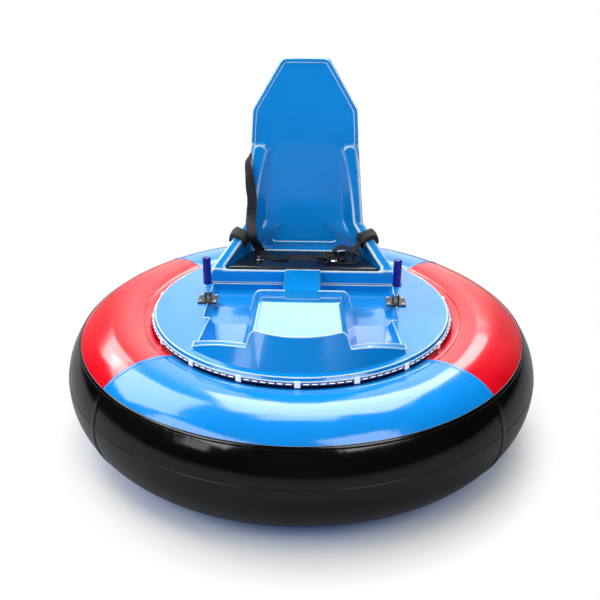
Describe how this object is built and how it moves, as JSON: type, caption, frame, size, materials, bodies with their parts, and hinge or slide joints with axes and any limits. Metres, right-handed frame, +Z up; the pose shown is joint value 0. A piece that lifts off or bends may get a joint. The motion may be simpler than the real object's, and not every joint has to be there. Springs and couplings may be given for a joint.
{
  "type": "bumper car",
  "caption": "One-seat battery bumper car: a round moulded deck with a high bucket seat and two hand levers, carried inside a fat inflated ring on two drive wheels and two casters.",
  "frame": {"origin": "on the floor, under the middle of the ring", "axes": "+Z up, the rider faces -Y, +X is to the left hand of a rider who faces -Y seen from the front of the car, so it runs to the right in the picture"},
  "size_m": [1.8996, 1.8996, 1.395],
  "materials": {
    "vinyl_blue": "glossy reinforced vinyl",
    "vinyl_red": "glossy reinforced vinyl",
    "vinyl_black": "glossy reinforced vinyl",
    "fibreglass_blue": "polished gel coat",
    "seat_vinyl": "smooth upholstery vinyl",
    "webbing": "woven",
    "buckle_plastic": "moulded",
    "light_strip": "clear over white",
    "clip_plastic": "moulded",
    "frame_paint": "powder coat",
    "motor_paint": "satin",
    "lever_chrome": "polished",
    "lever_grip": "moulded",
    "wheel_alloy": "cast",
    "wheel_tyre": "solid rubber",
    "caster_zinc": "zinc plated",
    "caster_tread": "solid rubber",
    "battery_case": "moulded",
    "valve_plastic": "moulded"
  },
  "bodies": {
    "car": {"tube_panel_front": "vinyl_blue", "tube_casing_front": "vinyl_black", "tube_panel_right": "vinyl_red", "tube_casing_right": "vinyl_black", "tube_panel_rear": "vinyl_blue", "tube_casing_rear": "vinyl_black", "tube_panel_left": "vinyl_red", "tube_casing_left": "vinyl_black", "tube_underside": "vinyl_blue", "tube_valve": "valve_plastic", "tube_cradle": "frame_paint", "deck": "fibreglass_blue", "seat_shell": "fibreglass_blue", "seat_cushion": "seat_vinyl", "led_strip": "light_strip", "led_clips": "clip_plastic", "chassis_frame": "frame_paint", "battery_tray": "frame_paint", "battery_left": "battery_case", "motor_left": "motor_paint", "lever_base_left": "frame_paint", "belt_wrap_left": "webbing", "battery_right": "battery_case", "motor_right": "motor_paint", "lever_base_right": "frame_paint", "belt_wrap_right": "webbing", "caster_plate_front": "caster_zinc", "caster_plate_rear": "caster_zinc", "belt_lap": "webbing", "belt_shoulder": "webbing", "belt_tail": "webbing", "belt_tongue": "buckle_plastic", "belt_buckle": "buckle_plastic"},
    "drive_wheel_left": {"drive_rim_left": "wheel_alloy", "drive_tyre_left": "wheel_tyre"},
    "drive_wheel_right": {"drive_rim_right": "wheel_alloy", "drive_tyre_right": "wheel_tyre"},
    "caster_swivel_front": {"caster_fork_front": "caster_zinc"},
    "caster_roller_front": {"caster_wheel_front": "caster_tread"},
    "caster_swivel_rear": {"caster_fork_rear": "caster_zinc"},
    "caster_roller_rear": {"caster_wheel_rear": "caster_tread"},
    "lever_left": {"lever_rod_left": "lever_chrome", "lever_grip_left": "lever_grip"},
    "lever_right": {"lever_rod_right": "lever_chrome", "lever_grip_right": "lever_grip"}
  },
  "joints": [
    {"name": "drive_wheel_left_spin", "type": "hinge", "parent": "car", "child": "drive_wheel_left", "pos_m": [-0.305, 0, 0.1], "axis": [-1, 0, 0], "continuous": true},
    {"name": "drive_wheel_right_spin", "type": "hinge", "parent": "car", "child": "drive_wheel_right", "pos_m": [0.305, 0, 0.1], "axis": [-1, 0, 0], "continuous": true},
    {"name": "caster_front_swivel", "type": "hinge", "parent": "car", "child": "caster_swivel_front", "pos_m": [0, -0.33, 0.14], "axis": [0, 0, 1], "continuous": true},
    {"name": "caster_front_spin", "type": "hinge", "parent": "caster_swivel_front", "child": "caster_roller_front", "pos_m": [0, -0.294, 0.05], "axis": [-1, 0, 0], "continuous": true},
    {"name": "caster_rear_swivel", "type": "hinge", "parent": "car", "child": "caster_swivel_rear", "pos_m": [0, 0.33, 0.14], "axis": [0, 0, 1], "continuous": true},
    {"name": "caster_rear_spin", "type": "hinge", "parent": "caster_swivel_rear", "child": "caster_roller_rear", "pos_m": [0, 0.366, 0.05], "axis": [-1, 0, 0], "continuous": true},
    {"name": "lever_left_rock", "type": "hinge", "parent": "car", "child": "lever_left", "pos_m": [-0.388, 0.031, 0.518], "axis": [1, 0, 0], "range_deg": [-20, 20], "stiffness_Nm_per_rad": 8},
    {"name": "lever_right_rock", "type": "hinge", "parent": "car", "child": "lever_right", "pos_m": [0.388, 0.031, 0.518], "axis": [1, 0, 0], "range_deg": [-20, 20], "stiffness_Nm_per_rad": 8}
  ]
}
